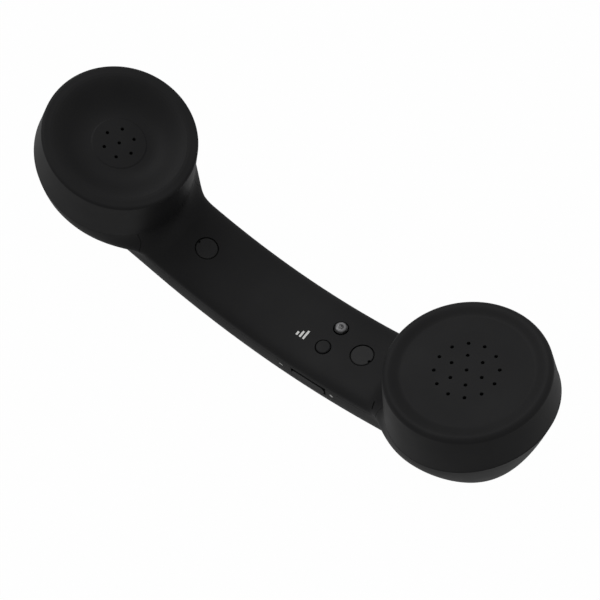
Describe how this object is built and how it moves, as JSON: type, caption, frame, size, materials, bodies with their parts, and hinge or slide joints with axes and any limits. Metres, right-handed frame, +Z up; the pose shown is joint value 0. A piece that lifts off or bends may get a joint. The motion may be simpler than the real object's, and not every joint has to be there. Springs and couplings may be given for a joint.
{
  "type": "telephone handset",
  "caption": "Black cordless telephone handset: two round perforated caps on an arched hollow handle, with an answer button, a lamp lens and a side volume rocker.",
  "frame": {"origin": "under the middle of the handle, in the plane of the small flat it lies on", "axes": "+X from earpiece to mouthpiece along the length, +Y across it away from the volume rocker, +Z up, the way both caps face"},
  "size_m": [0.2146, 0.0604, 0.0714],
  "materials": {
    "black_shell": "soft matte, fine grain",
    "black_plug": "satin",
    "black_keys": "soft satin",
    "clear_lens": "clear polished plastic",
    "lamp_white": "pale chip",
    "steel_screws": "zinc-plated",
    "switch_metal": "tinned",
    "dark_plastic": "moulded",
    "board_green": "solder mask",
    "white_plastic": "moulded",
    "battery_foil": "foil pouch",
    "foam_grey": "foam",
    "speaker_steel": "pressed",
    "magnet_dark": "sintered, nickel cup",
    "copper_wire": "enamelled copper",
    "cone_paper": "pressed paper",
    "board_brown": "phenolic",
    "mesh_cloth": "acoustic cloth",
    "rubber_black": "soft",
    "wire_red": "wire sleeve",
    "wire_white": "wire sleeve"
  },
  "bodies": {
    "body": {"handle_back": "black_shell", "handle_front": "black_shell", "ear_cap": "black_shell", "mouth_cap": "black_shell", "ear_plug": "black_plug", "mouth_plug": "black_plug", "shell_screws": "steel_screws", "answer_switch": "switch_metal", "lamp_lens": "clear_lens", "lamp": "lamp_white", "rocker_pin": "steel_screws", "rocker_bracket": "switch_metal", "rocker_switches": "dark_plastic", "main_board": "board_green", "board_screws": "steel_screws", "radio_can": "switch_metal", "wire_sockets": "white_plastic", "charge_socket": "switch_metal", "battery": "battery_foil", "battery_pad": "foam_grey", "speaker_gasket": "foam_grey", "speaker_frame": "speaker_steel", "speaker_magnet": "magnet_dark", "voice_coil": "copper_wire", "speaker_cone": "cone_paper", "speaker_terminal": "board_brown", "speaker_clamp": "speaker_steel", "speaker_screws": "steel_screws", "ear_mesh": "mesh_cloth", "mic_mesh": "mesh_cloth", "mic_boot": "rubber_black", "mic_capsule": "switch_metal", "battery_wires": "wire_red", "speaker_wires": "wire_red", "mic_wires": "wire_white"},
    "answer_key": {"answer_button": "black_keys"},
    "volume_key": {"volume_rocker": "black_keys"}
  },
  "joints": [
    {"name": "answer_press", "type": "slide", "parent": "body", "child": "answer_key", "axis": [0.1236, 0, -0.9923], "range_m": [0, 0.0007], "stiffness_N_per_m": 400},
    {"name": "volume_tip", "type": "hinge", "parent": "body", "child": "volume_key", "pos_m": [0.0243, -0.01269, 0.014], "axis": [-0.1309, 0, 0.9914], "range_deg": [-3, 3], "stiffness_Nm_per_rad": 0.05}
  ]
}
